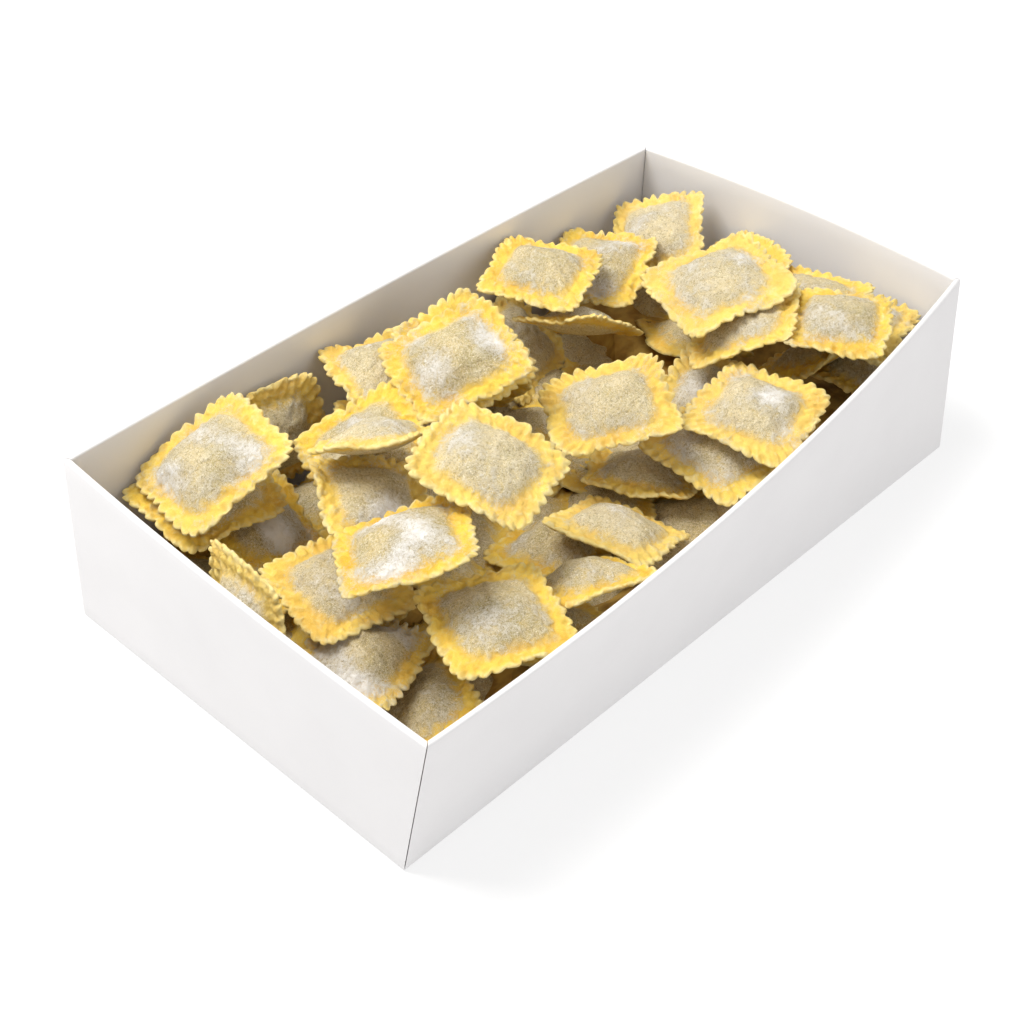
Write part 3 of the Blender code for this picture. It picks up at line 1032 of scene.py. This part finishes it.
@dataclass(frozen=True)
class Studio:
    """Floor, lights and camera."""

    azimuth: float = -48.677
    elevation: float = 40.632
    roll: float = 2.775
    distance: float = 0.70889
    aim: tuple = (-0.00144, 0.01285, 0.0)
    focal_px: float = 1866.6
    frame_px: float = 1024.0
    sensor: float = 36.0
    sky: float = 0.70
    key_watts: float = 27.5
    fill_watts: float = 3.0

    def build(self) -> None:
        """Set everything up."""
        self._floor()
        self._world()
        self._lights()
        self._camera()

    def _floor(self) -> None:
        """A wide pale floor."""
        mesh = bpy.data.meshes.new("floor")
        span = 40.0
        corners = [(-span, -span, 0), (span, -span, 0), (span, span, 0), (-span, span, 0)]
        mesh.from_pydata(corners, [], [(0, 1, 2, 3)])
        mesh.materials.append(FloorFinish().build())
        floor = bpy.data.objects.new("floor", mesh)
        bpy.context.scene.collection.objects.link(floor)
        floor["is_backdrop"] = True

    def _world(self) -> None:
        """Even white light from all round, seen by the camera as plain white."""
        world = bpy.data.worlds.new("studio")
        world.use_nodes = True
        tree = world.node_tree
        background = tree.nodes["Background"]
        background.inputs["Color"].default_value = (1.0, 1.0, 1.0, 1.0)
        path, level = tree.nodes.new("ShaderNodeLightPath"), tree.nodes.new("ShaderNodeMath")
        level.operation = "MULTIPLY_ADD"
        tree.links.new(path.outputs["Is Camera Ray"], level.inputs[0])
        level.inputs[1].default_value = 1.0 - self.sky
        level.inputs[2].default_value = self.sky
        tree.links.new(level.outputs[0], background.inputs["Strength"])
        bpy.context.scene.world = world

    def _area(self, name: str, place: tuple, watts: float, size: float, tint: tuple) -> None:
        """A square soft light aimed at the tray."""
        lamp = bpy.data.lights.new(name, "AREA")
        lamp.energy, lamp.size, lamp.color = watts, size, tint
        holder = bpy.data.objects.new(name, lamp)
        holder.location = place
        aim = Vector((0, 0, 0.04)) - Vector(place)
        holder.rotation_euler = aim.to_track_quat("-Z", "Y").to_euler()
        bpy.context.scene.collection.objects.link(holder)

    def _lights(self) -> None:
        """A broad key from the back left, high up, and a weak fill from the front."""
        self._area("key", (-0.42, 0.56, 1.40), self.key_watts, 0.8, (1.0, 0.985, 0.955))
        self._area("fill", (0.35, -1.15, 0.85), self.fill_watts, 1.4, (1.0, 0.975, 0.95))

    def _camera(self) -> None:
        """The camera, at its angle, with its roll."""
        az, el, roll = (math.radians(v) for v in (self.azimuth, self.elevation, self.roll))
        back = Vector((math.sin(az) * math.cos(el), -math.cos(az) * math.cos(el), math.sin(el)))
        right = (-back).cross(Vector((0, 0, 1))).normalized()
        up = right.cross(-back)
        c, s = math.cos(roll), math.sin(roll)
        right, up = right * c + up * s, up * c - right * s
        turn = Matrix((right, up, back)).transposed().to_4x4()
        lens = bpy.data.cameras.new("camera")
        lens.sensor_width = self.sensor
        lens.lens = self.focal_px / self.frame_px * self.sensor
        lens.clip_start, lens.clip_end = 0.01, 20
        camera = bpy.data.objects.new("camera", lens)
        camera.matrix_world = Matrix.Translation(Vector(self.aim) + back * self.distance) @ turn
        bpy.context.scene.collection.objects.link(camera)
        bpy.context.scene.camera = camera


# --------------------------------------------------------------------- main


def core_piece(node: bpy.types.Object, drop: float, finish: bpy.types.Material) -> bpy.types.Object:
    """A smaller core under the buried ravioli, in painted shade: a dark solid standing in for the shadow deep in
    the heap.

    Args:
        node: The CAD solid of the lower ravioli.
        drop: How far its top sinks, in metres.
        finish: Its material.

    Returns:
        The core.
    """
    mesh = node.data.copy()
    mesh.materials.clear()
    mesh.materials.append(finish)
    low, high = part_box(node.name)
    for vertex in mesh.vertices:
        vertex.co.x, vertex.co.y = vertex.co.x * 0.95, vertex.co.y * 0.9
        vertex.co.z = max(low.z, min(vertex.co.z - drop, 26 * MM)) if vertex.co.z > low.z + 1 * MM else low.z
    core = bpy.data.objects.new("heap_core", mesh)
    bpy.context.scene.collection.objects.link(core)
    return core


def main() -> None:
    """Build the tray, the ravioli and the studio."""
    logging.basicConfig(level=logging.INFO, format="%(message)s")
    for thing in list(bpy.data.objects):
        bpy.data.objects.remove(thing, do_unlink=True)
    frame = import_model()
    cad_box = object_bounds()
    nodes = frame["nodes"]
    dough, card, shadow = DoughFinish().build(), CardFinish().build(), ShadowFinish().build()

    tray = CardTray()
    for piece in tray.build(card):
        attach(piece, ROOT)
        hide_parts("box")
        LOG.info("tray: %s", piece.name)

    ceiling = cad_box[1][2]
    pieces = UpperRavioli(RavioloForm(), ceiling).build(nodes, dough)
    for name, piece in pieces.items():
        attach(piece, ROOT)
        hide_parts(name)
    LOG.info("ravioli on top: %d", len(pieces))

    # the core beneath is painted shade: a dark solid in place of the heap's deep shadow
    lower = [BuriedRavioli(tray=tray).build(nodes, dough), core_piece(nodes["lower_ravioli"], 8 * MM, shadow)]
    for piece in lower:
        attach(piece, ROOT)
        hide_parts("lower_ravioli")
        LOG.info("beneath: %s, %d faces", piece.name, len(piece.data.polygons))

    Studio().build()
    bpy.context.scene.view_settings.view_transform = "Standard"


if __name__ == "__main__":
    main()
